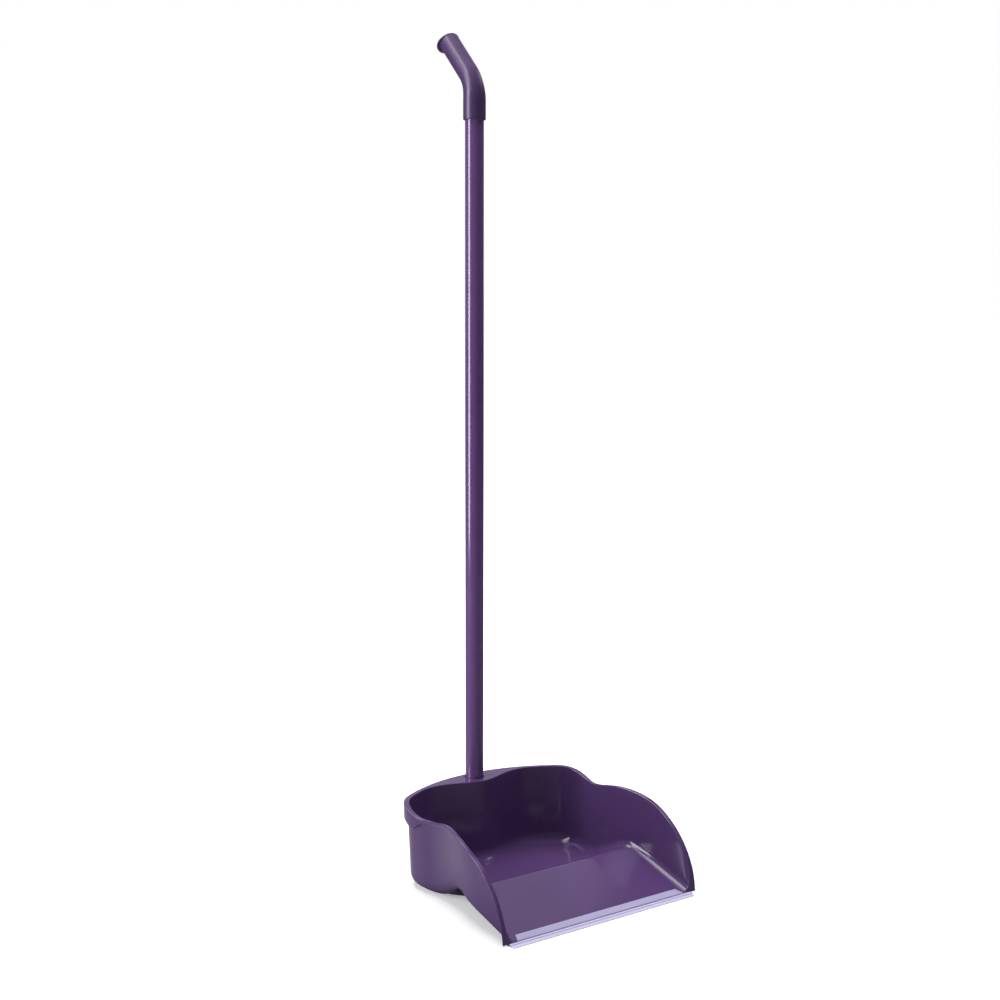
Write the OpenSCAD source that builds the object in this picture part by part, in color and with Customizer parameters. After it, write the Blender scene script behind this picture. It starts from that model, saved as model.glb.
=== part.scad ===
// Long-handled dustpan: moulded pan, soft front lip, bent steel tube handle.
// Origin: centre of the flat underside of the well, on the floor.
// +Z up, -Y towards the front lip, X across the pan.

/* [Pan size] */
// Width over the rim at the rear corners
rear_width = 257; // [220:1:300]
// Width over the rim at the waist, behind the wings
waist_width = 246; // [210:1:290]
// Width over the rim at the front of the wings
front_width = 274; // [225:1:315]
// Distance from the handle axis forwards to the waist
waist_reach = 92; // [85:1:105]
// Distance from the handle axis forwards to where the wings reach their full width
flare_reach = 190; // [160:1:210]
// Distance from the handle axis forwards to the front of the wings
wing_reach = 249; // [235:1:300]
// Distance from the origin back to the handle axis
handle_back = 85; // [84:1:95]
// Radius of the bowed rear edge
rear_radius = 200; // [170:1:240]
// Radius of the rear corners, over the rim
corner_radius = 43; // [35:1:50]

/* [Pan heights] */
// Height of the shelf that carries the handle
shelf_height = 100; // [90:1:120]
// Height of the rim at its low point, behind the wings
dip_height = 90; // [78:1:90]
// Height of the wings at their highest point
wing_height = 97; // [88:1:115]
// Distance from the handle axis forwards to the low point
dip_reach = 77; // [70:1:82]
// Distance from the handle axis forwards to the highest point
wing_top_reach = 132; // [120:1:150]
// Roundness of the wing outline, 2 is an ellipse
wing_power = 2; // [1.8:0.1:2.6]

/* [Walls] */
// Thickness of the walls and floor
wall = 2.5; // [2:0.1:3.2]
// How far the wall leans in from rim to floor
wall_lean = 3.5; // [2:0.5:5]
// Width of the rim along the sides, wall included
rim_width = 5; // [4.5:0.5:9]
// Width of the rim round the rear corners, wall included
rear_rim_width = 6.5; // [5.5:0.5:9]
// Thickness of the rim
rim_thickness = 2.2; // [1.8:0.1:3]
// Depth of the turned-down edge along the sides
side_skirt = 5; // [4:0.5:8]
// Depth of the turned-down edge round the rear
rear_skirt = 17; // [12:1:22]
// Thickness of the turned-down edge
skirt_thickness = 1.8; // [1.5:0.1:2.4]
// Radius between floor and wall in the well, inside
floor_fillet = 14; // [10:1:16]
// Radius between ramp and wall, inside
ramp_fillet = 9; // [6:1:12]
// How far the rear wall bows forwards round the handle socket
bulge_depth = 28.5; // [27:0.5:32]
// Half-width of that bow
bulge_reach = 82; // [70:1:90]

/* [Ramp] */
// Height of the ramp crest above the floor
crest_height = 29; // [20:1:34]
// Distance from the handle axis forwards to the crest
crest_reach = 152; // [148:1:160]
// Length over which the crest drops into the well
well_drop = 37; // [30:1:42]
// How much further back the well's front edge is at its corners
well_round = 38; // [20:1:42]
// Height of the ramp's top face at its front edge
ramp_front_height = 3.2; // [3:0.1:4]

/* [Lip] */
// Width of the soft lip
lip_width = 257; // [215:1:280]
// Width of the part of the lip that lies between the wings
lip_inner_width = 228; // [190:1:250]
// How far the lip stands forward of the ramp's front edge
lip_nose = 8; // [5:0.5:12]
// How far the lip grips back over the ramp
lip_grip = 9; // [6:0.5:14]
// Thickness of the lip's jaws
lip_jaw = 1.1; // [0.9:0.1:1.6]

/* [Socket] */
// Depth of the socket below the shelf's top face
socket_depth = 82; // [60:1:84]
// Thickness of the socket's wall
socket_wall = 2.8; // [2.2:0.1:3.6]
// Radial clearance between the tube and the socket
socket_clearance = 0.08; // [0.02:0.01:0.1]
// Thickness of the ribs that brace the socket
rib_thickness = 2; // [1.6:0.1:3]

/* [Handle] */
// Outer diameter of the steel tube
tube_diameter = 22; // [19:0.5:25]
// Wall of the steel tube
tube_wall = 0.5; // [0.4:0.1:1.2]
// Height above the floor at which the tube starts to bend
bend_start = 908; // [700:1:1100]
// Radius of the bend, to the tube's axis
bend_radius = 44; // [38:1:60]
// Angle of the bend
bend_angle = 45; // [30:1:60]
// Straight length of tube past the bend
arm_length = 55; // [35:1:70]

/* [Grip] */
// Thickness of the grip's wall at its lower collar
collar_wall = 2.2; // [1.7:0.1:4]
// Thickness of the grip's wall past the bend
arm_wall = 1.1; // [0.7:0.1:1.6]
// Length of the straight collar below the bend
collar_length = 24; // [18:1:60]
// How far the domed end cap stands out round the grip
cap_step = 2.2; // [1.5:0.1:3.5]
// Height of the cap's dome
dome_height = 6.5; // [4:0.5:12]
// How far the cap sits towards the underside of the grip
cap_offset = 2.4; // [1.5:0.1:3]
// Length of the plugs that fit in the tube's ends
plug_length = 14; // [10:1:20]

/* [Hidden] */
$fn = 96;

tube_r = tube_diameter / 2;
bore_r = tube_r - tube_wall;
socket_bore_r = tube_r + socket_clearance;
socket_floor = shelf_height - socket_depth;
foot_flange = 2;
handle_gap = 0.4;
collar_diameter = tube_diameter + 2 * collar_wall;
arm_diameter = tube_diameter + 2 * arm_wall;
cap_diameter = arm_diameter + 2 * cap_step;
tube_foot = socket_floor + handle_gap + foot_flange;
arm_lap = 0.3;
arm_step = 0.02;

// Margins and shares that shape the pan.
rear_margin = 14;
pole_gap = 4;
rise_share = 0.75;
nose_margin = 1.5;
well_side = 22;
well_power = 6;
skirt_share = 0.35;
skirt_margin = 0.3;
fillet_share = 0.7;
rim_margin = 0.3;
same_point = 0.001;

// Plan of the rim: bowed rear edge, two corner arcs, two straight sides.
half_rear = rear_width / 2;
half_waist = waist_width / 2;
half_front = front_width / 2;
corner_x = half_rear - corner_radius;
rear_edge_y = handle_back + rear_margin;
rear_centre_y = rear_edge_y - rear_radius;
corner_turn = asin(corner_x / (rear_radius - corner_radius));
corner_y = rear_centre_y + (rear_radius - corner_radius) * cos(corner_turn);
front_y = handle_back - wing_reach;
dip_y = handle_back - dip_reach;
wing_top_y = handle_back - wing_top_reach;
crest_y = handle_back - crest_reach;
well_y = crest_y + well_drop;
pole_y = well_y + well_round + pole_gap;
waist_y = handle_back - waist_reach;
flare_y = handle_back - flare_reach;

// Number of sections along the parts of the rim, and points round a fillet.
rear_steps = 12;
corner_steps = 6;
waist_steps = 3;
drop_steps = 10;
nose_steps = 12;
fillet_steps = 4;
// Where the floor has its points, as shares of the way from its middle to its edge.
across = [0.6, 0.85];

// Blend from 0 to 1 as t goes from 0 to 1, level at both ends.
function ease(t) = (1 - cos(180 * min(1, max(0, t)))) / 2;
function mix(a, b, t) = a + (b - a) * t;

// Height of the rim's top face at a distance y along the pan.
function wing_curve(y) =
    let (u = (wing_top_y - y) / (wing_top_y - front_y))
    wing_height * pow(max(0, 1 - pow(max(0, u), wing_power)), 1 / wing_power);
rise_y = corner_y + corner_radius * rise_share;
function rim_height(y) =
    y > dip_y ? mix(dip_height, shelf_height, ease((y - dip_y) / (rise_y - dip_y)))
    : y > wing_top_y ? mix(wing_height, dip_height, ease((y - wing_top_y) / (dip_y - wing_top_y)))
    : max(ramp_front_height + nose_margin, wing_curve(y));

// Half of the width over the rim: wide at the rear, a waist, then flared wings.
function half_width(y) =
    y > waist_y ? mix(half_waist, half_rear, ease((y - waist_y) / (corner_y - waist_y)))
    : mix(half_waist, half_front, ease((waist_y - y) / (waist_y - flare_y)));

// Height of the floor's top face: ramp, crest, then down into the well, whose
// front edge curves back towards its corners.
function ramp_height(y) = mix(ramp_front_height, crest_height, (y - front_y) / (crest_y - front_y));
function well_edge(x) = well_y + well_round * pow(min(1, abs(x) / (half_waist - well_side)), well_power);
function floor_height(y, x) =
    y <= crest_y ? ramp_height(y)
    : mix(crest_height, wall, ease((y - crest_y) / (well_edge(x) - crest_y)));

// A station on the rim is [x, y, outward angle from +Y]. These run from
// the rear centre round the right-hand side to the front.
rear_stations = [for (i = [0:rear_steps])
    let (a = corner_turn * i / rear_steps)
    [rear_radius * sin(a), rear_centre_y + rear_radius * cos(a), a]];
corner_stations = [for (i = [1:corner_steps])
    let (a = mix(corner_turn, 90, i / corner_steps))
    [corner_x + corner_radius * sin(a), corner_y + corner_radius * cos(a), a]];
side_y = concat(
    [for (i = [1:waist_steps]) mix(corner_y, pole_y, i / waist_steps)],
    [for (i = [1:drop_steps]) mix(pole_y, crest_y, i / drop_steps)],
    [for (i = [1:nose_steps]) mix(crest_y, front_y, sin(90 * i / nose_steps))]);
side_stations = [for (y = side_y)
    [half_width(y), y, 90]];
right_stations = concat(rear_stations, corner_stations, side_stations);
stations = concat(
    [for (i = [len(right_stations) - 1:-1:1])
        let (s = right_stations[i]) [-s[0], s[1], -s[2]]],
    right_stations);

// Extra inset of the inner wall where it bows forwards round the socket.
function bulge(s) =
    abs(s[0]) < bulge_reach && s[1] > corner_y
    ? bulge_depth * pow(cos(90 * s[0] / bulge_reach), 2) : 0;
// Depth of the turned-down edge: deep round the rear, shallow at the sides,
// and fading to nothing at the nose of the wing.
function skirt(s) =
    let (rear = mix(side_skirt, rear_skirt, ease((s[1] - dip_y) / (corner_y - dip_y))),
         room = rim_height(s[1]) - floor_height(s[1], s[0]) - rim_thickness)
    max(rim_thickness + skirt_margin, min(rear, skirt_share * room));
// Fillet radius: tighter along the ramp, and limited where the wing is low.
function fillet(s) = min(
    mix(ramp_fillet, floor_fillet, ease((s[1] - crest_y) / (pole_y - crest_y))),
    fillet_share * (rim_height(s[1]) - floor_height(s[1], s[0])));
// Rim width: wider round the rear corners.
function rim(s) = mix(rim_width, rear_rim_width, ease((s[1] - dip_y) / (corner_y - dip_y)));

// Point at inset d from the rim's outer edge and height z.
function at(s, d, z) = [s[0] - d * sin(s[2]), s[1] - d * cos(s[2]), z];

// Point of the floor's top face at share f of the way from [0, cy] to the edge.
function floor_point(cy, edge, f) =
    let (x = edge[0] * f, y = mix(cy, edge[1], f)) [x, y, floor_height(y, x)];

// Closed section at a station, from the centre line out over the floor,
// up the inner wall, round the rim and back under the floor.
function section(s) =
    let (top = rim_height(s[1]),
         inset = rim(s) + bulge(s),
         foot = inset + wall_lean,
         r = fillet(s),
         cy = min(s[1], pole_y),
         edge = at(s, foot + r, 0),
         zf = floor_height(edge[1], edge[0]),
         ro = min(r + wall, top - rim_thickness - zf + wall - rim_margin),
         under = at(s, foot - wall + ro, 0),
         drop = skirt(s))
    concat(
        [[0, cy, floor_height(cy, 0)]],
        [for (f = across) floor_point(cy, edge, f)],
        [for (i = [0:fillet_steps])
            let (a = 90 * i / fillet_steps)
            at(s, foot + r * (1 - sin(a)), zf + r * (1 - cos(a)))],
        [at(s, inset, top),
         at(s, 0, top),
         at(s, 0, top - drop),
         at(s, skirt_thickness, top - drop),
         at(s, skirt_thickness, top - rim_thickness),
         at(s, inset - wall, top - rim_thickness)],
        [for (i = [fillet_steps:-1:0])
            let (a = 90 * i / fillet_steps)
            at(s, foot - wall + ro * (1 - sin(a)), zf - wall + ro * (1 - cos(a)))],
        [for (i = [len(across) - 1:-1:0]) floor_point(cy, under, across[i]) - [0, 0, wall]],
        [[0, cy, floor_height(cy, 0) - wall]]);

// True for two points that are not the same point.
function apart(a, b) = norm(a - b) > same_point;

// Solid through a row of sections. Each end is closed by a band of triangles
// between the upper and the lower half of its section.
module skin(sections) {
    rows = len(sections);
    cols = len(sections[0]);
    last = (rows - 1) * cols;
    points = [for (s = sections) each s];
    sides = [for (i = [0:rows - 2], j = [0:cols - 2], t = [0, 1])
        t == 0 ? [i * cols + j, i * cols + j + 1, (i + 1) * cols + j + 1]
        : [i * cols + j, (i + 1) * cols + j + 1, (i + 1) * cols + j]];
    ends = [for (j = [0:cols / 2 - 2], t = [0:3])
        t == 0 ? [last + j, last + j + 1, last + cols - 2 - j]
        : t == 1 ? [last + j, last + cols - 2 - j, last + cols - 1 - j]
        : t == 2 ? [cols - 2 - j, j + 1, j]
        : [cols - 1 - j, cols - 2 - j, j]];
    sound = [for (f = concat(sides, ends))
        if (apart(points[f[0]], points[f[1]]) && apart(points[f[1]], points[f[2]])
            && apart(points[f[2]], points[f[0]])) f];
    polyhedron(points = points, faces = sound, convexity = 8);
}

// Plates that tie the socket to the bowed wall and to the shelf.
module socket_ribs() {
    reach = 52;
    depth = 40;
    end_height = 4;
    front_gap = 5;
    bore_lap = 2;
    side_lap = 1;
    translate([-rib_thickness / 2, handle_back - bulge_depth + front_gap, socket_floor])
        cube([rib_thickness, bulge_depth - front_gap - tube_r + bore_lap, socket_depth - rim_thickness]);
    for (side = [-1, 1])
        translate([0, handle_back + rib_thickness / 2, 0])
            rotate([90, 0, 0])
                linear_extrude(rib_thickness)
                    polygon([
                        [side * (tube_r + side_lap), shelf_height - rim_thickness / 2],
                        [side * reach, shelf_height - rim_thickness / 2],
                        [side * reach, shelf_height - rim_thickness - end_height],
                        [side * (tube_r + side_lap), shelf_height - rim_thickness - depth]]);
}

module pan() {
    lead_in = 1.2;
    through = 1;
    skim = 0.01;
    color("#5d4770")
        difference() {
            union() {
                skin([for (s = stations) section(s)]);
                translate([0, handle_back, socket_floor - wall])
                    cylinder(r = socket_bore_r + socket_wall, h = socket_depth + wall - rim_thickness / 2);
                socket_ribs();
            }
            translate([0, handle_back, socket_floor])
                cylinder(r = socket_bore_r, h = socket_depth + through);
            translate([0, handle_back, shelf_height - lead_in])
                cylinder(r1 = socket_bore_r, r2 = socket_bore_r + lead_in, h = lead_in + skim);
        }
}

// Soft strip on the ramp's front edge. Its slot holds the edge of the ramp.
module lip_strip() {
    slope = (crest_height - ramp_front_height) / (front_y - crest_y);
    nose_y = front_y - lip_nose;
    grip_y = front_y + lip_grip;
    top = ramp_front_height;
    grip_top = top - slope * lip_grip;
    edge_thickness = 0.6;
    step = 0.8;
    lap = 1;
    lift = 0.2;
    color("#b9b6d6")
        union() {
            rotate([90, 0, 90])
                translate([0, 0, -lip_width / 2])
                    linear_extrude(lip_width)
                        polygon([
                            [nose_y, 0],
                            [nose_y, edge_thickness],
                            [front_y - lap, top + step],
                            [front_y, top + step],
                            [front_y, 0]]);
            rotate([90, 0, 90])
                translate([0, 0, -lip_inner_width / 2])
                    linear_extrude(lip_inner_width)
                        polygon([
                            [front_y - lap, lift],
                            [front_y - lap, top + lip_jaw],
                            [grip_y, grip_top + lip_jaw],
                            [grip_y, grip_top],
                            [front_y, top],
                            [front_y, lift]]);
        }
}

// Round bar that follows the handle's axis past the bend, of radius r.
// The arm is a hair wider and laps the end of the bend, so that the two join.
module bent_bar(r, start, reach) {
    translate([0, handle_back, start])
        cylinder(r = r, h = bend_start - start);
    translate([0, handle_back + bend_radius, bend_start])
        rotate([90, 0, -90])
            rotate_extrude(angle = bend_angle)
                translate([bend_radius, 0])
                    circle(r = r);
    past_bend()
        translate([0, 0, -arm_lap])
            cylinder(r = r + arm_step, h = reach + arm_lap);
}

// Moves its children to the end of the bend, along the arm.
module past_bend() {
    translate([
        0,
        handle_back + bend_radius * (1 - cos(bend_angle)),
        bend_start + bend_radius * sin(bend_angle)])
        rotate([-bend_angle, 0, 0])
            children();
}

module handle_tube() {
    lap = 1;
    color("#5b3d70")
        difference() {
            bent_bar(tube_r, tube_foot, arm_length);
            bent_bar(bore_r, tube_foot - lap, arm_length + lap);
        }
}

module foot_plug() {
    flange_inset = 0.2;
    color("#3f2d52")
        translate([0, handle_back, tube_foot]) {
            translate([0, 0, -foot_flange])
                cylinder(r = tube_r - flange_inset, h = foot_flange);
            cylinder(r = bore_r, h = plug_length);
        }
}

module grip_sleeve() {
    shoulder = 4;
    shoulder_step = 0.4;
    shoulder_gap = 0.5;
    lap = 1;
    color("#6a5580")
        difference() {
            union() {
                translate([0, handle_back, bend_start - collar_length])
                    cylinder(d = collar_diameter, h = collar_length - shoulder);
                translate([0, handle_back, bend_start - shoulder])
                    cylinder(
                        d1 = collar_diameter,
                        d2 = arm_diameter + shoulder_step,
                        h = shoulder - shoulder_gap);
                bent_bar(arm_diameter / 2, bend_start - lap, arm_length);
            }
            bent_bar(tube_r, bend_start - collar_length - lap, arm_length + lap);
        }
}

module end_cap() {
    rim = 1.5;
    cap_r = cap_diameter / 2;
    dome_r = (cap_r * cap_r + dome_height * dome_height) / (2 * dome_height);
    color("#6a5580")
        past_bend()
            translate([0, 0, arm_length]) {
                translate([0, cap_offset, rim])
                    intersection() {
                        translate([0, 0, dome_height - dome_r])
                            sphere(r = dome_r);
                        translate([0, 0, dome_height / 2])
                            cube([2 * cap_diameter, 2 * cap_diameter, dome_height], center = true);
                    }
                translate([0, cap_offset, 0])
                    cylinder(d = cap_diameter, h = rim);
                translate([0, 0, -plug_length])
                    cylinder(r = bore_r, h = plug_length);
            }
}

pan();
lip_strip();
handle_tube();
foot_plug();
grip_sleeve();
end_cap();
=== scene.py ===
import bmesh
import bpy
import math
import numpy as np
from mathutils import Matrix, Vector


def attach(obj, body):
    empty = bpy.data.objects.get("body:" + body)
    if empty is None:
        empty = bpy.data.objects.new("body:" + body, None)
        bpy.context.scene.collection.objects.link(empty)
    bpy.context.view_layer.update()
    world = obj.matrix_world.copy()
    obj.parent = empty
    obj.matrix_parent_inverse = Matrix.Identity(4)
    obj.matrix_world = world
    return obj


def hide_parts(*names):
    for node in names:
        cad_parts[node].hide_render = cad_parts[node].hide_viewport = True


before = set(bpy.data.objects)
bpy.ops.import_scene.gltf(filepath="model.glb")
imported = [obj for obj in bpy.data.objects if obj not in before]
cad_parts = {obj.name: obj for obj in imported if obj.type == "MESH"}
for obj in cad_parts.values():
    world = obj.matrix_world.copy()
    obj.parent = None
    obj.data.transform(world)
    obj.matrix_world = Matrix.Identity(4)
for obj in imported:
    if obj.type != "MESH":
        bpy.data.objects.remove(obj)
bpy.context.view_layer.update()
mm = 0.001


def ease(t):
    # half a cosine wave from 0 to 1, level at both ends
    return (1 - np.cos(np.pi * np.clip(t, 0, 1))) / 2


def blend(a, b, t):
    # straight line from a to b
    return a + (b - a) * t


def makePiece(name, points, faces, body, node, slot, sharpAngle=35):
    # points in mm; doubles are merged, so seams and poles close
    mesh = bpy.data.meshes.new(name)
    mesh.from_pydata((np.asarray(points) * mm).tolist(), [], faces)
    work = bmesh.new()
    work.from_mesh(mesh)
    bmesh.ops.remove_doubles(work, verts=work.verts, dist=2e-6)
    bmesh.ops.dissolve_degenerate(work, edges=work.edges, dist=1e-7)
    bmesh.ops.recalc_face_normals(work, faces=work.faces)
    work.to_mesh(mesh)
    work.free()
    mesh.polygons.foreach_set("use_smooth", np.ones(len(mesh.polygons), bool))
    mesh.set_sharp_from_angle(angle=math.radians(sharpAngle))
    piece = bpy.data.objects.new(name, mesh)
    bpy.context.scene.collection.objects.link(piece)
    if body:
        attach(piece, body)
        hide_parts(node)
    return piece


def gridFaces(rows, cols, wrapRows=False, wrapCols=False):
    # quads between neighbours of a grid of rows x cols points
    r = np.arange(rows if wrapRows else rows - 1)[:, None]
    c = np.arange(cols if wrapCols else cols - 1)[None, :]
    r2 = (r + 1) % rows
    c2 = (c + 1) % cols
    quads = np.stack([r * cols + c, r * cols + c2, r2 * cols + c2, r2 * cols + c], -1)
    return quads.reshape(-1, 4).tolist()


def roundedCorner(corner, before, after, radius, count=5):
    # points on a quadratic curve from one side of a corner to the other:
    # (1-t)^2 a + 2t(1-t) corner + t^2 b
    corner = np.asarray(corner, float)
    before = np.asarray(before, float) - corner
    after = np.asarray(after, float) - corner
    a = corner + before * min(1, radius / np.linalg.norm(before))
    b = corner + after * min(1, radius / np.linalg.norm(after))
    t = np.linspace(0, 1, count)[:, None]
    return (1 - t) ** 2 * a + 2 * t * (1 - t) * corner + t ** 2 * b


def roundedProfile(corners, radii):
    # open profile through the corners, each rounded by its own radius
    corners = np.asarray(corners, float)
    parts = [corners[:1]]
    for i in range(1, len(corners) - 1):
        if radii[i]:
            parts.append(roundedCorner(corners[i], corners[i - 1], corners[i + 1], radii[i]))
        else:
            parts.append(corners[i:i + 1])
    parts.append(corners[-1:])
    return np.vstack(parts)


def turned(profile, centre, segments=96):
    # surface of revolution: (r, z) goes to (r cos a, r sin a, z) for each angle a
    a = np.linspace(0, 2 * np.pi, segments, endpoint=False)[:, None]
    r = profile[None, :, 0]
    z = profile[None, :, 1] + 0 * a
    points = np.stack([r * np.cos(a), r * np.sin(a), z], -1).reshape(-1, 3) + centre
    return points, gridFaces(segments, len(profile), wrapRows=True)


def joined(parts):
    # several (points, faces) pairs as one
    points = []
    faces = []
    offset = 0
    for p, f in parts:
        points.append(np.asarray(p))
        faces += [[i + offset for i in face] for face in f]
        offset += len(p)
    return np.vstack(points), faces


def linearColour(hexText):
    # sRGB hex to linear red, green, blue, alpha
    channels = np.array([int(hexText[i:i + 2], 16) for i in (0, 2, 4)]) / 255
    low = channels / 12.92
    high = ((channels + 0.055) / 1.055) ** 2.4
    return (*np.where(channels <= 0.04045, low, high).tolist(), 1)


def addNode(tree, kind, settings=None, values=None, links=None):
    # a node with its settings, its socket values and the links into it
    node = tree.nodes.new(kind)
    for name, value in (settings or {}).items():
        setattr(node, name, value)
    for name, value in (values or {}).items():
        node.inputs[name].default_value = value
    for name, source in (links or {}).items():
        tree.links.new(source, node.inputs[name])
    return node


def newMaterial(name):
    material = bpy.data.materials.new(name)
    material.use_nodes = True
    material.node_tree.nodes.clear()
    return material, material.node_tree


def dress(piece, material):
    # one material for the whole piece
    piece.data.materials.clear()
    piece.data.materials.append(material)


def perMetre(sizeMm):
    # noise scale whose features are about this size
    return 1 / (sizeMm * mm)


# pan: one moulded shell, a section carried round its rim
pan = {
    "rearWidth": 257, "waistWidth": 246, "frontWidth": 274,
    "handleBack": 85, "waistReach": 92, "flareReach": 190, "wingReach": 249,
    "rearRadius": 200, "cornerRadius": 43,
    "shelfHeight": 100, "dipHeight": 90, "wingHeight": 97,
    "dipReach": 77, "wingTopReach": 132, "wingPower": 2.0,
    "wall": 2.5, "wallLean": 3.5, "rimWidth": 5, "rearRimWidth": 6.5, "rimThickness": 2.2,
    "sideSkirt": 5, "rearSkirt": 17, "skirtThickness": 1.8,
    "floorFillet": 14, "rampFillet": 9, "bulgeDepth": 28.5, "bulgeReach": 82,
    "crestHeight": 29, "crestReach": 152, "wellDrop": 37, "wellRound": 38,
    "rampFrontHeight": 3.2, "edgeRound": 0.9, "edgeShare": 0.35, "hem": 0.5,
    "rearMargin": 14, "poleGap": 4, "riseShare": 0.75, "noseMargin": 1.5,
    "wellSide": 22, "wellPower": 6, "skirtShare": 0.35, "skirtMargin": 0.3,
    "filletShare": 0.7, "rimMargin": 0.3,
}
halfRear = pan["rearWidth"] / 2
halfWaist = pan["waistWidth"] / 2
halfFront = pan["frontWidth"] / 2
cornerX = halfRear - pan["cornerRadius"]
rearCentreY = pan["handleBack"] + pan["rearMargin"] - pan["rearRadius"]
cornerTurn = math.asin(cornerX / (pan["rearRadius"] - pan["cornerRadius"]))
cornerY = rearCentreY + (pan["rearRadius"] - pan["cornerRadius"]) * math.cos(cornerTurn)
frontY = pan["handleBack"] - pan["wingReach"]
dipY = pan["handleBack"] - pan["dipReach"]
wingTopY = pan["handleBack"] - pan["wingTopReach"]
crestY = pan["handleBack"] - pan["crestReach"]
wellY = crestY + pan["wellDrop"]
poleY = wellY + pan["wellRound"] + pan["poleGap"]
waistY = pan["handleBack"] - pan["waistReach"]
flareY = pan["handleBack"] - pan["flareReach"]


def wingCurve(y):
    # quarter of a superellipse, from the wing's top down to its front
    u = np.clip((wingTopY - y) / (wingTopY - frontY), 0, 1)
    power = pan["wingPower"]
    return pan["wingHeight"] * np.maximum(0, 1 - u ** power) ** (1 / power)


def rimHeight(y):
    # shelf, dip, wing top, then the wing's curve down to the floor
    rearEnd = cornerY + pan["cornerRadius"] * pan["riseShare"]
    rear = blend(pan["dipHeight"], pan["shelfHeight"], ease((y - dipY) / (rearEnd - dipY)))
    middle = blend(pan["wingHeight"], pan["dipHeight"], ease((y - wingTopY) / (dipY - wingTopY)))
    front = np.maximum(pan["rampFrontHeight"] + pan["noseMargin"], wingCurve(y))
    return np.where(y > dipY, rear, np.where(y > wingTopY, middle, front))


def halfWidth(y):
    # wide rear, narrow waist, flared wings
    back = blend(halfWaist, halfRear, ease((y - waistY) / (cornerY - waistY)))
    front = blend(halfWaist, halfFront, ease((waistY - y) / (waistY - flareY)))
    return np.where(y > waistY, back, front)


def floorHeight(y, x):
    # a straight ramp up to the crest, then an eased drop into the well,
    # whose front edge curves back with the sixth power of x
    sideways = np.minimum(1, np.abs(x) / (halfWaist - pan["wellSide"]))
    wellEdge = wellY + pan["wellRound"] * sideways ** pan["wellPower"]
    slope = (y - frontY) / (crestY - frontY)
    ramp = blend(pan["rampFrontHeight"], pan["crestHeight"], slope)
    drop = blend(pan["crestHeight"], pan["wall"], ease((y - crestY) / (wellEdge - crestY)))
    return np.where(y <= crestY, ramp, drop)


def rimStations(rearCount=90, cornerCount=30, sideCount=110, noseCount=70):
    # x, y and outward angle from +Y, along the rear arc, the corner arc and the side
    a = np.linspace(0, cornerTurn, rearCount)
    rear = np.stack([pan["rearRadius"] * np.sin(a), rearCentreY + pan["rearRadius"] * np.cos(a), a], 1)
    a = np.linspace(cornerTurn, np.pi / 2, cornerCount)[1:]
    radius = pan["cornerRadius"]
    corner = np.stack([cornerX + radius * np.sin(a), cornerY + radius * np.cos(a), a], 1)
    down = blend(crestY, frontY, np.sin(np.linspace(0, np.pi / 2, noseCount)[1:]))
    y = np.concatenate([np.linspace(cornerY, crestY, sideCount)[1:], down])
    side = np.stack([halfWidth(y), y, np.full(len(y), np.pi / 2)], 1)
    right = np.vstack([rear, corner, side])
    left = right[:0:-1] * [-1, 1, -1]
    return np.vstack([left, right])


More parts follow.
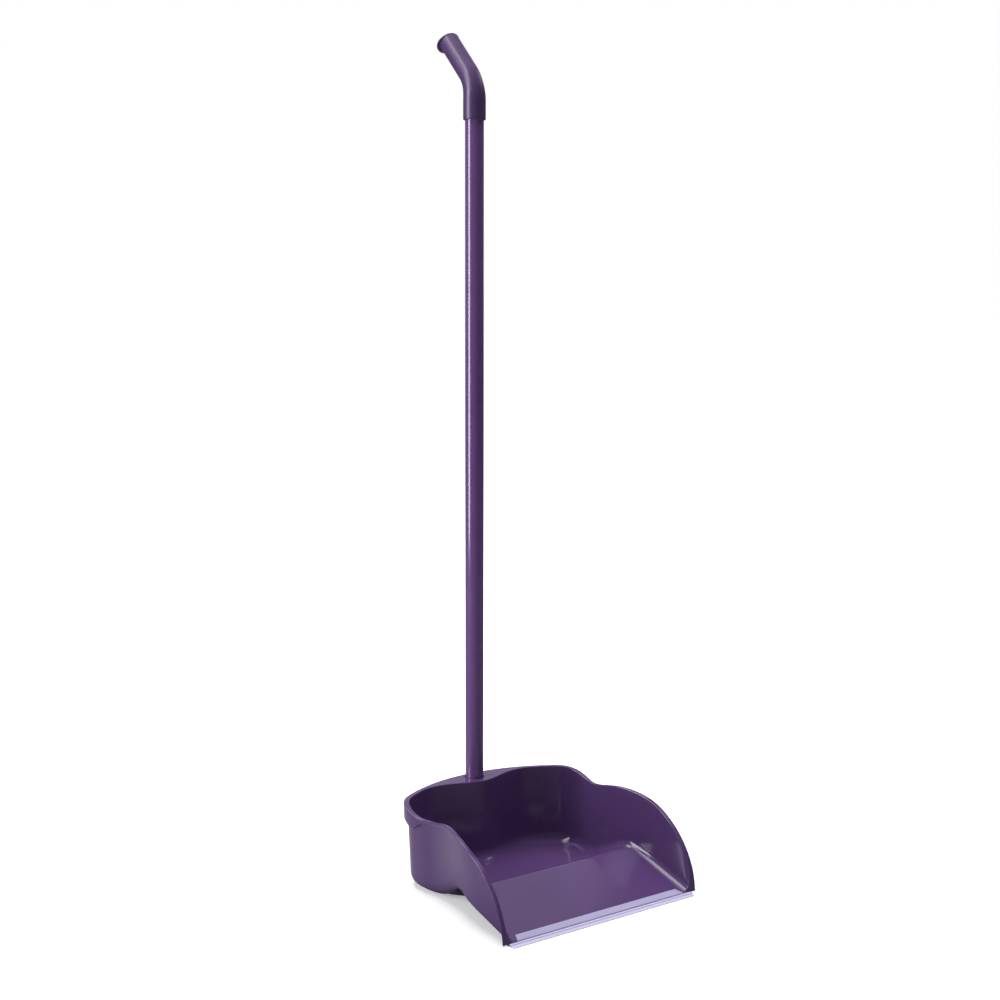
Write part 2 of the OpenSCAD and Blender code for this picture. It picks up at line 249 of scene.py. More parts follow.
def panShell():
    # at every station round the rim: floor, inner fillet, inner wall, rim, turned-down
    # edge, outer wall, outer fillet and underside, as one row of points each
    s = rimStations()
    x = s[:, 0]
    y = s[:, 1]
    sinA = np.sin(s[:, 2])
    cosA = np.cos(s[:, 2])
    top = rimHeight(y)
    floorHere = floorHeight(y, x)
    bow = pan["bulgeDepth"] * np.cos(np.pi / 2 * x / pan["bulgeReach"]) ** 2
    bow = np.where((np.abs(x) < pan["bulgeReach"]) & (y > cornerY), bow, 0)
    rearShare = ease((y - dipY) / (cornerY - dipY))
    inset = blend(pan["rimWidth"], pan["rearRimWidth"], rearShare) + bow
    foot = inset + pan["wallLean"]
    fillet = blend(pan["rampFillet"], pan["floorFillet"], ease((y - crestY) / (poleY - crestY)))
    fillet = np.minimum(fillet, pan["filletShare"] * (top - floorHere))
    skirt = blend(pan["sideSkirt"], pan["rearSkirt"], rearShare)
    room = top - floorHere - pan["rimThickness"]
    skirt = np.minimum(skirt, pan["skirtShare"] * room)
    skirt = np.maximum(pan["rimThickness"] + pan["skirtMargin"], skirt)
    wall = pan["wall"]
    thick = pan["rimThickness"]
    turnDown = pan["skirtThickness"]
    hem = pan["hem"]
    edge = np.minimum(pan["edgeRound"], pan["edgeShare"] * skirt)
    middleY = np.minimum(y, poleY)

    def at(d, z):
        # point at distance d in from the rim's outer edge, height z
        return np.stack([x - d * sinA, y - d * cosA, z + 0 * x], -1)

    def across(d, z0, shares, lowered):
        # floor from the middle line out to the point at distance d
        end = at(d, z0)
        fx = end[None, :, 0] * shares[:, None]
        fy = blend(middleY[None], end[None, :, 1], shares[:, None])
        return np.stack([fx, fy, floorHeight(fy, fx) - lowered], -1)

    edgePoint = at(foot + fillet, 0 * x)
    floorZ = floorHeight(edgePoint[:, 1], edgePoint[:, 0])
    outerFillet = np.minimum(fillet + wall, top - thick - floorZ + wall - pan["rimMargin"])
    shares = np.linspace(0, 1, 22)
    rows = [across(foot + fillet, floorZ, shares, 0)]
    for a in np.linspace(0, np.pi / 2, 10)[1:]:
        rows.append(at(foot + fillet * (1 - np.sin(a)), floorZ + fillet * (1 - np.cos(a)))[None])
    for t in np.linspace(0, 1, 9)[1:]:
        z = blend(floorZ + fillet, top - edge, t)
        rows.append(at(blend(foot, inset, t), z)[None])
    for a in np.linspace(0, np.pi / 2, 6)[1:]:
        rows.append(at(inset - edge * (1 - np.cos(a)), top - edge * (1 - np.sin(a)))[None])
    for t in np.linspace(0, 1, 14)[1:]:
        rows.append(at(blend(inset - edge, edge, t), top)[None])
    for a in np.linspace(0, np.pi / 2, 6)[1:]:
        rows.append(at(edge * (1 - np.sin(a)), top - edge * (1 - np.cos(a)))[None])
    for t in np.linspace(0, 1, 4)[1:]:
        rows.append(at(0 * x, blend(top - edge, top - skirt + hem, t))[None])
    for a in np.linspace(0, np.pi / 2, 4)[1:]:
        rows.append(at(hem * (1 - np.cos(a)), top - skirt + hem * (1 - np.sin(a)))[None])
    for a in np.linspace(0, np.pi / 2, 4):
        rows.append(at(turnDown - hem + hem * np.sin(a), top - skirt + hem * (1 - np.cos(a)))[None])
    for t in np.linspace(0, 1, 4)[1:]:
        rows.append(at(turnDown, blend(top - skirt + hem, top - thick, t))[None])
    for t in np.linspace(0, 1, 8)[1:]:
        rows.append(at(blend(turnDown, inset - wall, t), top - thick)[None])
    for t in np.linspace(0, 1, 9)[1:]:
        z = blend(top - thick, floorZ - wall + outerFillet, t)
        rows.append(at(blend(inset - wall, foot - wall, t), z)[None])
    for a in np.linspace(np.pi / 2, 0, 10)[1:-1]:
        out = foot - wall + outerFillet * (1 - np.sin(a))
        rows.append(at(out, floorZ - wall + outerFillet * (1 - np.cos(a)))[None])
    rows.append(across(foot - wall + outerFillet, floorZ - wall, shares[::-1], wall))
    grid = np.concatenate(rows, 0).transpose(1, 0, 2)
    count = grid.shape[1]
    faces = gridFaces(grid.shape[0], count)
    lastRow = (grid.shape[0] - 1) * count
    faces.append(list(range(count)))
    faces.append([lastRow + i for i in range(count - 1, -1, -1)])
    return grid.reshape(-1, 3), faces


panPiece = makePiece("panShell", *panShell(), "pan", "pan", "pan")

# the hole for the socket is cut where the handle stands
tube = {
    "radius": 11, "wall": 0.5, "foot": 20.4, "cutEdge": 0.3,
    "bendStart": 908, "bendRadius": 44, "bendAngle": 45, "arm": 55,
}
socket = {
    "depth": 82, "wall": 2.8, "clearance": 0.08, "base": 2.5, "leadIn": 1.2,
    "hole": 12.9, "mouth": 12.2, "cutBelow": 5, "cutAbove": 4, "shelfGap": 0.2,
}
handleAxis = np.array([0, pan["handleBack"], 0])
boreRadius = tube["radius"] + socket["clearance"]
socketTop = pan["shelfHeight"]
socketFloor = socketTop - socket["depth"]
hole = socket["hole"]
cutLow = socketTop - socket["cutBelow"]
cutHigh = socketTop + socket["cutAbove"]
cutterProfile = np.array([[0, cutLow], [hole, cutLow], [hole, cutHigh], [0, cutHigh]])
cutter = makePiece("socketCutter", *turned(cutterProfile, handleAxis, 128), None, None, None)
holeCut = panPiece.modifiers.new("socketHole", "BOOLEAN")
holeCut.object = cutter
holeCut.operation = "DIFFERENCE"
holeCut.solver = "EXACT"
cutMesh = bpy.data.meshes.new_from_object(panPiece.evaluated_get(bpy.context.evaluated_depsgraph_get()))
panPiece.modifiers.clear()
panPiece.data = cutMesh
cutMesh.set_sharp_from_angle(angle=math.radians(35))
bpy.data.objects.remove(cutter)
print("pan shell:", len(panPiece.data.polygons), "faces")

# socket: blind sleeve that the tube's foot stands in
outer = boreRadius + socket["wall"]
below = socketFloor - socket["base"]
shelfUnder = socketTop - pan["rimThickness"] - socket["shelfGap"]
socketProfile = roundedProfile(
    [[0, below], [outer, below], [outer, shelfUnder], [hole, shelfUnder],
     [hole, socketTop], [socket["mouth"], socketTop], [boreRadius, socketTop - socket["leadIn"]],
     [boreRadius, socketFloor], [0, socketFloor]],
    [0, 0.8, 0, 0, 0, 0.3, 0.4, 0, 0])
socketPiece = makePiece("panSocket", *turned(socketProfile, handleAxis), "pan", "pan", "pan")

# ribs: flat plates between the socket, the shelf and the bowed wall
ribs = {
    "thickness": 2, "reach": 52, "depth": 40, "endHeight": 5, "root": 12.5,
    "frontLow": 60.5, "frontHigh": 65, "frontRoot": 73, "soften": 0.35,
}


def plate(outline, axis, centre, thickness):
    # outline in the plane across the axis, given its thickness along that axis
    outline = np.asarray(outline, float)
    count = len(outline)
    sides = []
    for offset in (-thickness / 2, thickness / 2):
        sides.append(np.insert(outline, axis, centre + offset, axis=1))
    faces = [[i, (i + 1) % count, count + (i + 1) % count, count + i] for i in range(count)]
    return np.vstack(sides), faces + [list(range(count))[::-1], list(range(count, 2 * count))]


underShelf = pan["shelfHeight"] - pan["rimThickness"] / 2
frontRib = [
    [ribs["frontLow"], socketFloor], [ribs["frontRoot"], socketFloor],
    [ribs["frontRoot"], underShelf], [ribs["frontHigh"], underShelf]]
ribParts = [plate(frontRib, 0, 0, ribs["thickness"])]
for side in (-1, 1):
    near = side * ribs["root"]
    far = side * ribs["reach"]
    low = underShelf - ribs["endHeight"]
    sideRib = [[near, underShelf], [far, underShelf], [far, low], [near, low - ribs["depth"]]]
    ribParts.append(plate(sideRib, 1, pan["handleBack"], ribs["thickness"]))
ribPiece = makePiece("panRibs", *joined(ribParts), "pan", "pan", "pan")
softEdge = ribPiece.modifiers.new("moulded edges", "BEVEL")
softEdge.width = ribs["soften"] * mm
softEdge.segments = 2
print("socket and ribs done")

# lip: two soft bands on the ramp's front edge
lip = {
    "halfWidth": 128.5, "innerHalfWidth": 114, "flare": 3.5, "nose": 8, "grip": 9, "jaw": 1.1,
    "edgeProfile": [
        (0, 0), (0, 0.7), (3.2, 2.1), (3.9, 1.3), (4.6, 2.75), (6.2, 3.5), (6.8, 2.5)],
    "edgeRadii": [0.2, 0.5, 0.25, 0.2, 0.25, 0.25, 0.2, 0.2, 0.1],
    "jawRadii": [0.1, 0.3, 0.4, 0.35, 0.1, 0.1],
}


def band(corners, radii, halfWidths, count=60):
    # closed (y, z) profile carried along X; each corner has its own half-width
    corners = np.asarray(corners, float)
    widths = np.asarray(halfWidths, float)
    parts = []
    total = len(corners)
    for i in range(total):
        before = np.append(corners[i - 1], widths[i - 1])
        here = np.append(corners[i], widths[i])
        after = np.append(corners[(i + 1) % total], widths[(i + 1) % total])
        parts.append(roundedCorner(here, before, after, radii[i], 5))
    loop = np.vstack(parts)
    endPull = 0.36  # full-size rings stop this far short, and smaller ones round the ends off
    middle = loop[:, :2].mean(0)
    along = [(float(v), 1.0) for v in np.linspace(-1, 1, count)]
    shares = [(-1.0, 0.82), (-1.0, 0.95)] + along + [(1.0, 0.95), (1.0, 0.82)]
    rings = []
    for i, (share, size) in enumerate(shares):
        pull = endPull if 1 < i < len(shares) - 2 else 0
        x = share * (loop[:, 2] - pull)
        yz = middle + (loop[:, :2] - middle) * size
        rings.append(np.column_stack([x, yz]))
    points = np.vstack(rings)
    cols = len(loop)
    faces = gridFaces(len(rings), cols, wrapCols=True)
    start = (len(rings) - 1) * cols
    faces += [list(range(cols))[::-1], [start + i for i in range(cols)]]
    return points, faces


frontTop = pan["rampFrontHeight"]
gripY = frontY + lip["grip"]
gripTop = frontTop + (pan["crestHeight"] - frontTop) / (crestY - frontY) * lip["grip"]
noseY = frontY - lip["nose"]
# profile points are (distance back from the nose, height), with two grooves between the ridges
edgeCorners = [[noseY + back, height] for back, height in lip["edgeProfile"]]
edgeCorners += [[frontY + 0.2, frontTop - 0.6], [frontY + 0.2, 0.0]]
lowerBand = band(edgeCorners, lip["edgeRadii"], [lip["halfWidth"]] * len(edgeCorners))
inner = lip["innerHalfWidth"]
wide = inner + lip["flare"]
upperBand = band(
    [[frontY - 0.6, 1.0], [frontY - 0.6, frontTop + 1.0], [frontY + 0.3, frontTop + lip["jaw"] + 0.05],
     [gripY, gripTop + lip["jaw"]], [gripY, gripTop + 0.02], [frontY + 0.5, frontTop]],
    lip["jawRadii"], [wide, wide, wide, inner, inner, wide])
lipPiece = makePiece("lipEdge", *lowerBand, "pan", "lip_strip", "lip", 50)
jawPiece = makePiece("lipJaw", *upperBand, "pan", "lip_strip", "lip", 50)
print("lip done")

# handle: everything follows one bent path
bendTurn = math.radians(tube["bendAngle"])
bendLength = tube["bendRadius"] * bendTurn


def handlePath(s):
    # s runs up from the bend's start: a straight, an arc, then a straight arm.
    # gives the axis point, the direction along it and the direction to the bend's outside
    turn = np.clip(s / tube["bendRadius"], 0, bendTurn)
    before = np.minimum(s, 0)
    beyond = np.maximum(s - bendLength, 0)
    along = np.stack([0 * s, np.sin(turn), np.cos(turn)], -1)
    away = np.stack([0 * s, -np.cos(turn), np.sin(turn)], -1)
    y = pan["handleBack"] + tube["bendRadius"] * (1 - np.cos(turn))
    z = tube["bendStart"] + before + tube["bendRadius"] * np.sin(turn)
    centre = np.stack([0 * s, y, z], -1) + along * beyond[:, None]
    return centre, along, away


def bentSleeve(s, r, segments=72):
    # closed loop of (s, r) pairs turned round the handle's path
    centre, along, away = handlePath(np.asarray(s, float))
    a = np.linspace(0, 2 * np.pi, segments, endpoint=False)
    ring = np.cos(a)[None, :, None] * away[:, None] + np.sin(a)[None, :, None] * np.array([1.0, 0, 0])
    points = centre[:, None] + np.asarray(r, float)[:, None, None] * ring
    faces = gridFaces(len(s), segments, wrapRows=True, wrapCols=True)
    return points.reshape(-1, 3), faces


def stepsAlong(start, end):
    # path positions: few on the straights, close together round the bend
    straight = np.linspace(start, 0, 24)[:-1]
    bend = np.linspace(0, bendLength, 40)
    arm = np.linspace(bendLength, end, 12)[1:]
    return np.concatenate([straight, bend, arm])


armEnd = bendLength + tube["arm"]
footS = tube["foot"] - tube["bendStart"]
up = stepsAlong(footS + tube["cutEdge"], armEnd - 0.1)
innerR = tube["radius"] - tube["wall"]
tubeS = np.concatenate([[footS], up, up[::-1], [footS]])
outside = np.full(len(up), tube["radius"])
inside = np.full(len(up), innerR)
tubeR = np.concatenate([[tube["radius"] - tube["cutEdge"]], outside, inside, [innerR + 0.2]])
tubePiece = makePiece("handleTube", *bentSleeve(tubeS, tubeR), "handle", "handle_tube", "tube", 60)

grip = {
    "collarRadius": 13.2, "armRadius": 12.1, "collar": 24, "edge": 0.9,
    "taperStart": 3, "taperShare": 0.75, "clearance": 0.02,
}
up = stepsAlong(-grip["collar"] + grip["edge"], armEnd)
taper = ease((up + grip["taperStart"]) / (bendLength * grip["taperShare"]))
gripR = blend(grip["collarRadius"], grip["armRadius"], taper)
hemTurn = np.linspace(0, np.pi / 2, 6)[:-1]
hemS = -grip["collar"] + grip["edge"] * (1 - np.sin(hemTurn))
hemR = grip["collarRadius"] - grip["edge"] * (1 - np.cos(hemTurn))
down = up[::-1]
gripS = np.concatenate([[-grip["collar"]], hemS[::-1], up, down, [-grip["collar"]]])
gripOuter = np.concatenate([[grip["collarRadius"] - grip["edge"] - 0.25], hemR[::-1], gripR])
gripInner = np.full(len(down) + 1, tube["radius"] + grip["clearance"])
gripShape = bentSleeve(gripS, np.concatenate([gripOuter, gripInner]))
gripPiece = makePiece("gripSleeve", *gripShape, "handle", "grip_sleeve", "grip", 50)

# end cap: a shallow dome turned about the arm, set towards its underside
cap = {
    "radius": 14.3, "rim": 1.5, "dome": 6.5, "offset": 2.4, "plug": 14,
    "edge": 0.5, "stemEdge": 0.8, "sunk": 0.5,
}
domeR = (cap["radius"] ** 2 + cap["dome"] ** 2) / (2 * cap["dome"])
slope = np.linspace(0, math.asin(cap["radius"] / domeR), 26)
domeHeight = cap["rim"] + cap["dome"] - domeR * (1 - np.cos(slope))
domeProfile = np.column_stack([domeR * np.sin(slope), domeHeight])
skirtProfile = roundedProfile([domeProfile[-1], [cap["radius"], 0], [innerR, 0]], [0, cap["edge"], 0])
capPoints, capFaces = turned(np.vstack([domeProfile, skirtProfile[1:-1], [[0, 0]]]), np.zeros(3), 96)
stemEnd = -cap["plug"]
sunk = cap["sunk"]  # the stem starts inside the dome, so the two join
plugProfile = roundedProfile(
    [[0, sunk], [innerR, sunk], [innerR, stemEnd], [0, stemEnd]], [0, 0, cap["stemEdge"], 0])
plugPoints, plugFaces = turned(plugProfile, np.zeros(3), 64)
endCentre, endAlong, endAway = handlePath(np.array([armEnd]))


def ontoArm(points, sideways):
    # local (x, y, z) goes to X, the arm's underside and the arm's direction
    across = points[:, 1:2] + sideways
    return endCentre + points[:, :1] * [1, 0, 0] - across * endAway + points[:, 2:3] * endAlong


capParts = [(ontoArm(capPoints, cap["offset"]), capFaces), (ontoArm(plugPoints, 0), plugFaces)]
capPiece = makePiece("endCap", *joined(capParts), "handle", "end_cap", "cap", 50)

# foot plug: a flange under the tube and a stem inside it
plug = {"flange": 2, "radius": 10.8, "length": 14, "flangeEdge": 0.6, "stemEdge": 0.8}
footProfile = roundedProfile(
    [[0, -plug["flange"]], [plug["radius"], -plug["flange"]], [plug["radius"], 0], [innerR, 0],
     [innerR, plug["length"]], [0, plug["length"]]],
    [0, plug["flangeEdge"], 0.2, 0, plug["stemEdge"], 0])
footShape = turned(footProfile, handleAxis + [0, 0, tube["foot"]], 72)
plugPiece = makePiece("footPlug", *footShape, "handle", "foot_plug", "plug", 50)
print("handle, grip, cap and plug done")


def mouldedPlastic(name, colour, darker, roughness, grainMm, grainDepth, waveMm, waveDepth):
    # shared build of the three moulded finishes: slow colour drift, uneven gloss,
    # a skin grain and the slow ripple of a cooled moulding
    material, tree = newMaterial(name)
    place = addNode(tree, "ShaderNodeTexCoord").outputs["Object"]
    drift = addNode(
        tree, "ShaderNodeTexNoise", values={"Scale": perMetre(60), "Detail": 3.0, "Roughness": 0.55},
        links={"Vector": place})
    tint = addNode(tree, "ShaderNodeValToRGB", links={"Fac": drift.outputs["Fac"]})
    tint.color_ramp.elements[0].color = linearColour(darker)
    tint.color_ramp.elements[1].color = linearColour(colour)
    gloss = addNode(
        tree, "ShaderNodeTexNoise", values={"Scale": perMetre(9), "Detail": 4.0}, links={"Vector": place})
    glossRange = addNode(
        tree, "ShaderNodeMapRange", values={"To Min": roughness * 0.88, "To Max": roughness * 1.15},
        links={"Value": gloss.outputs["Fac"]})
    grain = addNode(
        tree, "ShaderNodeTexNoise", values={"Scale": perMetre(grainMm), "Detail": 2.0},
        links={"Vector": place})
    wave = addNode(
        tree, "ShaderNodeTexNoise", values={"Scale": perMetre(waveMm), "Detail": 1.0},
        links={"Vector": place})
    waveBump = addNode(
        tree, "ShaderNodeBump", values={"Strength": 1.0, "Distance": waveDepth * mm},
        links={"Height": wave.outputs["Fac"]})
    grainBump = addNode(
        tree, "ShaderNodeBump", values={"Strength": 1.0, "Distance": grainDepth * mm},
        links={"Height": grain.outputs["Fac"], "Normal": waveBump.outputs["Normal"]})
    shader = addNode(
        tree, "ShaderNodeBsdfPrincipled", values={"IOR": 1.49},
        links={"Base Color": tint.outputs["Color"], "Roughness": glossRange.outputs["Result"],
               "Normal": grainBump.outputs["Normal"]})
    addNode(tree, "ShaderNodeOutputMaterial", links={"Surface": shader.outputs["BSDF"]})
    return material


# glossy injection-moulded polypropylene: clear soft reflections, faint ripple
panMaterial = mouldedPlastic(
    "mouldedPolypropyleneGloss", colour="543c6a", darker="4d3663", roughness=0.13,
    grainMm=1.6, grainDepth=0.004, waveMm=26, waveDepth=0.06)
# spark-eroded satin polypropylene: grain of 0.6 mm, drawn at 0.9 mm so that it shows
gripMaterial = mouldedPlastic(
    "mouldedSleeveSatin", colour="4e3864", darker="47325c", roughness=0.31,
    grainMm=0.9, grainDepth=0.005, waveMm=14, waveDepth=0.03)
# the cap takes the sleeve's satin in a darker colour: painted shade that stands in for the dark underside
# of the cap's step
capShadedMaterial = mouldedPlastic(
    "mouldedCapSatinShaded", colour="4a3460", darker="432f58", roughness=0.31,
    grainMm=0.9, grainDepth=0.005, waveMm=10, waveDepth=0.02)
# matt polyethylene foot plug, darker and dry-looking
plugMaterial = mouldedPlastic(
    "mouldedPolyethyleneMatt", colour="3c2b4e", darker="33243f", roughness=0.55,
    grainMm=0.9, grainDepth=0.02, waveMm=10, waveDepth=0.03)

# powder-coated steel: paint with a fine orange peel of about 1.5 mm under a hard gloss
tubeMaterial, tree = newMaterial("powderCoatedSteelGloss")
place = addNode(tree, "ShaderNodeTexCoord").outputs["Object"]
peel = addNode(
    tree, "ShaderNodeTexNoise", values={"Scale": perMetre(1.5), "Detail": 1.5}, links={"Vector": place})
speck = addNode(
    tree, "ShaderNodeTexNoise", values={"Scale": perMetre(14), "Detail": 3.0}, links={"Vector": place})
paint = addNode(tree, "ShaderNodeValToRGB", links={"Fac": speck.outputs["Fac"]})
paint.color_ramp.elements[0].color = linearColour("62437a")
paint.color_ramp.elements[1].color = linearColour("694980")
glossRange = addNode(
    tree, "ShaderNodeMapRange", values={"To Min": 0.11, "To Max": 0.16},
    links={"Value": speck.outputs["Fac"]})
peelBump = addNode(
    tree, "ShaderNodeBump", values={"Strength": 1.0, "Distance": 0.0004 * mm},
    links={"Height": peel.outputs["Fac"]})
shader = addNode(
    tree, "ShaderNodeBsdfPrincipled", values={"IOR": 1.5, "Coat Weight": 0.5, "Coat Roughness": 0.08},
    links={"Base Color": paint.outputs["Color"], "Roughness": glossRange.outputs["Result"],
           "Normal": peelBump.outputs["Normal"]})
addNode(tree, "ShaderNodeOutputMaterial", links={"Surface": shader.outputs["BSDF"]})


# extruded thermoplastic rubber: pale, satin, faint draw lines along its length
def extrudedRubber(name, colour, darker):
    material, tree = newMaterial(name)
    place = addNode(tree, "ShaderNodeTexCoord").outputs["Object"]
    stretch = addNode(tree, "ShaderNodeMapping", links={"Vector": place})
    stretch.inputs["Scale"].default_value = (8, perMetre(0.8), perMetre(0.8))
    lines = addNode(
        tree, "ShaderNodeTexNoise", values={"Scale": 1.0, "Detail": 2.0},
        links={"Vector": stretch.outputs["Vector"]})
    cloud = addNode(
        tree, "ShaderNodeTexNoise", values={"Scale": perMetre(35), "Detail": 3.0}, links={"Vector": place})
    rubber = addNode(tree, "ShaderNodeValToRGB", links={"Fac": cloud.outputs["Fac"]})
    rubber.color_ramp.elements[0].color = linearColour(darker)
    rubber.color_ramp.elements[1].color = linearColour(colour)
    lineBump = addNode(
        tree, "ShaderNodeBump", values={"Strength": 1.0, "Distance": 0.03 * mm},
        links={"Height": lines.outputs["Fac"]})
    glossRange = addNode(
        tree, "ShaderNodeMapRange", values={"To Min": 0.42, "To Max": 0.55},
        links={"Value": cloud.outputs["Fac"]})
    shader = addNode(
        tree, "ShaderNodeBsdfPrincipled", values={"IOR": 1.5},
        links={"Base Color": rubber.outputs["Color"], "Roughness": glossRange.outputs["Result"],
               "Normal": lineBump.outputs["Normal"]})
    addNode(tree, "ShaderNodeOutputMaterial", links={"Surface": shader.outputs["BSDF"]})
    return material


lipMaterial = extrudedRubber("extrudedRubberSatin", colour="c8c3e2", darker="c0bbda")
# the jaw is the harder grade of the same strip, a shade darker
jawMaterial = extrudedRubber("extrudedRubberJaw", colour="a09bbd", darker="9893b5")

for piece in (panPiece, socketPiece, ribPiece):
    dress(piece, panMaterial)
dress(lipPiece, lipMaterial)
dress(jawPiece, jawMaterial)
dress(tubePiece, tubeMaterial)
dress(gripPiece, gripMaterial)
dress(capPiece, capShadedMaterial)
dress(plugPiece, plugMaterial)
print("materials done")


# floor, light and camera
studio = {"floorHalf": 20, "worldWhite": 1.0, "worldReflected": 0.1}
half = studio["floorHalf"]
floorMesh = bpy.data.meshes.new("studioFloor")
u, v = np.meshgrid(np.linspace(-half, half, 9), np.linspace(-half, half, 9))
floorMesh.from_pydata(np.stack([u.ravel(), v.ravel(), 0 * u.ravel()], 1).tolist(), [], gridFaces(9, 9))
floorPiece = bpy.data.objects.new("studioFloor", floorMesh)
bpy.context.scene.collection.objects.link(floorPiece)

# white paper sweep: for the camera a painted glow lifts it from 0.34 near the object to pure white further
# out, painted light that leaves painted shade round the object under its real soft shadow. Its bounce is
# kept low, as a floor of grey card would
floorMaterial, tree = newMaterial("paperSweep")
place = addNode(tree, "ShaderNodeTexCoord").outputs["Object"]
fibre = addNode(tree, "ShaderNodeTexNoise", values={"Scale": 3.0, "Detail": 2.0}, links={"Vector": place})
paper = addNode(tree, "ShaderNodeValToRGB", links={"Fac": fibre.outputs["Fac"]})
paper.color_ramp.elements[0].color = (0.80, 0.80, 0.80, 1)
paper.color_ramp.elements[1].color = (0.82, 0.82, 0.82, 1)
reach = addNode(tree, "ShaderNodeVectorMath", {"operation": "LENGTH"}, links={"Vector": place})
# painted glow: emission grows with distance from the object, painted light far out and painted shade close
# in
paintedGlow = addNode(
    tree, "ShaderNodeMapRange", values={"From Min": 0.2, "From Max": 0.8, "To Min": 0.34, "To Max": 1.0},
    links={"Value": reach.outputs["Value"]})
lit = addNode(
    tree, "ShaderNodeBsdfPrincipled",
    values={"Roughness": 0.9, "Emission Color": (1, 1, 1, 1), "Specular IOR Level": 0.1},
    links={"Base Color": paper.outputs["Color"], "Emission Strength": paintedGlow.outputs["Result"]})
card = addNode(tree, "ShaderNodeBsdfDiffuse", values={"Color": (0.5, 0.5, 0.51, 1)})
# what the gloss sees: dark felt, with a grey card beside and behind the object
behind = addNode(
    tree, "ShaderNodeMapRange", values={"From Min": -0.12, "From Max": 0.02},
    links={"Value": addNode(tree, "ShaderNodeSeparateXYZ", links={"Vector": place}).outputs["Y"]})
beside = addNode(
    tree, "ShaderNodeMapRange", values={"From Min": 0.75, "From Max": 0.35},
    links={"Value": reach.outputs["Value"]})
cardShare = addNode(
    tree, "ShaderNodeMath", {"operation": "MULTIPLY"},
    links={0: behind.outputs["Result"], 1: beside.outputs["Result"]})
cardRamp = addNode(tree, "ShaderNodeValToRGB", links={"Fac": cardShare.outputs["Value"]})
cardRamp.color_ramp.elements[0].color = (0.12, 0.12, 0.13, 1)
cardRamp.color_ramp.elements[1].color = (0.34, 0.34, 0.35, 1)
felt = addNode(tree, "ShaderNodeBsdfDiffuse", links={"Color": cardRamp.outputs["Color"]})
floorRay = addNode(tree, "ShaderNodeLightPath")
unseen = addNode(tree, "ShaderNodeMixShader", links={"Fac": floorRay.outputs["Is Glossy Ray"]})
tree.links.new(card.outputs["BSDF"], unseen.inputs[1])
tree.links.new(felt.outputs["BSDF"], unseen.inputs[2])
floorMix = addNode(tree, "ShaderNodeMixShader", links={"Fac": floorRay.outputs["Is Camera Ray"]})
tree.links.new(unseen.outputs["Shader"], floorMix.inputs[1])
tree.links.new(lit.outputs["BSDF"], floorMix.inputs[2])
addNode(tree, "ShaderNodeOutputMaterial", links={"Surface": floorMix.outputs["Shader"]})
dress(floorPiece, floorMaterial)

world = bpy.data.worlds.new("studioWorld")
bpy.context.scene.world = world
world.use_nodes = True
tree = world.node_tree
tree.nodes.clear()
ray = addNode(tree, "ShaderNodeLightPath")
seen = addNode(
    tree, "ShaderNodeBackground", values={"Color": (1, 1, 1, 1), "Strength": studio["worldWhite"]})
dim = addNode(
    tree, "ShaderNodeBackground",
    values={"Color": (0.97, 0.97, 1, 1), "Strength": studio["worldReflected"]})
mixWorld = addNode(tree, "ShaderNodeMixShader", links={"Fac": ray.outputs["Is Camera Ray"]})
tree.links.new(dim.outputs["Background"], mixWorld.inputs[1])
tree.links.new(seen.outputs["Background"], mixWorld.inputs[2])
addNode(tree, "ShaderNodeOutputWorld", links={"Surface": mixWorld.outputs["Shader"]})


def softbox(name, place, target, width, height, power, lights=True, mirrored=True):
    lightData = bpy.data.lights.new(name, "AREA")
    lightData.shape = "RECTANGLE"
    lightData.size = width
    lightData.size_y = height
    lightData.energy = power
    light = bpy.data.objects.new(name, lightData)
    light.location = place
    light.visible_camera = False
    light.visible_diffuse = lights  # off: gives reflections only
    light.visible_glossy = mirrored  # off: not seen in the gloss
    aim = Vector(target) - Vector(place)
    light.rotation_euler = aim.to_track_quat("-Z", "Y").to_euler()
    bpy.context.scene.collection.objects.link(light)


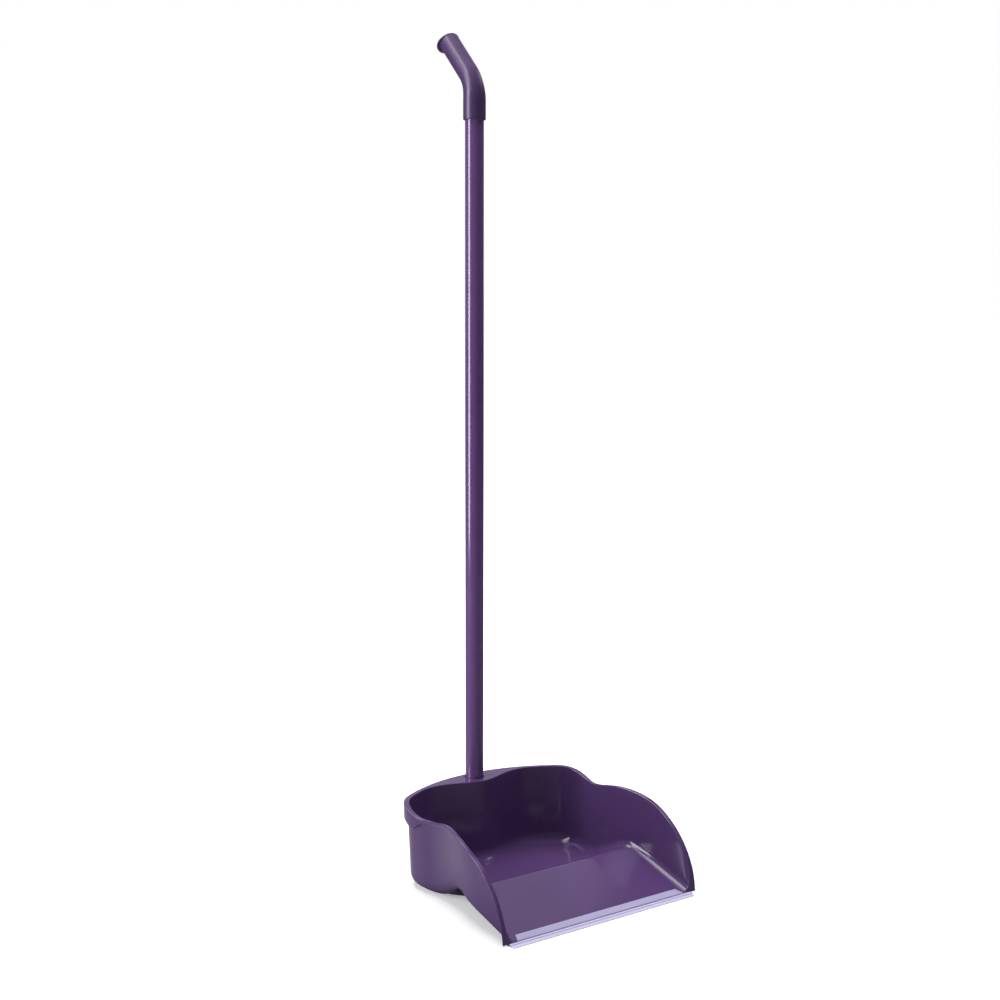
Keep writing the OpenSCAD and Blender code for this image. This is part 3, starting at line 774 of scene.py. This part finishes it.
# the large top box only lights; the smaller ones marked lights=False only give reflections
softbox(
    "topBox", place=(0.2, 0.3, 3.0), target=(0, 0, 0.1),
    width=2.6, height=2.6, power=134, mirrored=False)
softbox(
    "leftStrip", place=(-2.3, 0.62, 0.75), target=(0, 0.05, 0.45),
    width=0.95, height=2.4, power=62)
softbox(
    "leftHighStrip", place=(-1.9, 0.2, 2.5), target=(0, 0.1, 0.95),
    width=0.8, height=1.7, power=30, lights=False)
softbox(
    "backRightBox", place=(1.35, 1.65, 1.95), target=(0, -0.1, 0.02),
    width=1.3, height=1.2, power=2.2)
softbox(
    "backTopBox", place=(-0.2, 1.05, 2.1), target=(0.1, -0.1, 0.02),
    width=1.6, height=1.1, power=36, lights=False)
softbox(
    "rightLamp", place=(1.2, 0.0, 1.75), target=(0, 0, 0.3),
    width=0.5, height=0.4, power=1.6, lights=False)
softbox(
    "backPanel", place=(2.1, 2.8, 1.3), target=(0, 0.05, 0.1),
    width=2.8, height=1.3, power=4)

view = {
    "place": (-1.0824, -1.4702, 0.6889), "heading": 35.76, "pitch": 7.475, "roll": 0.123,
    "lens": 57.61, "sensor": 36,
}
heading, pitch, roll = [math.radians(view[name]) for name in ("heading", "pitch", "roll")]
ahead = Vector((math.sin(heading), math.cos(heading), 0))
right = Vector((math.cos(heading), -math.sin(heading), 0))
upward = Vector((0, 0, 1))
forward = ahead * math.cos(pitch) - upward * math.sin(pitch)
level = upward * math.cos(pitch) + ahead * math.sin(pitch)
camX = right * math.cos(roll) + level * math.sin(roll)
camY = level * math.cos(roll) - right * math.sin(roll)
cameraData = bpy.data.cameras.new("camera")
cameraData.lens = view["lens"]
cameraData.sensor_width = view["sensor"]
camera = bpy.data.objects.new("camera", cameraData)
turning = Matrix((camX, camY, -forward)).transposed().to_4x4()
camera.matrix_world = Matrix.Translation(view["place"]) @ turning
bpy.context.scene.collection.objects.link(camera)
bpy.context.scene.camera = camera
bpy.context.scene.view_settings.view_transform = "Standard"
print("studio and camera done")
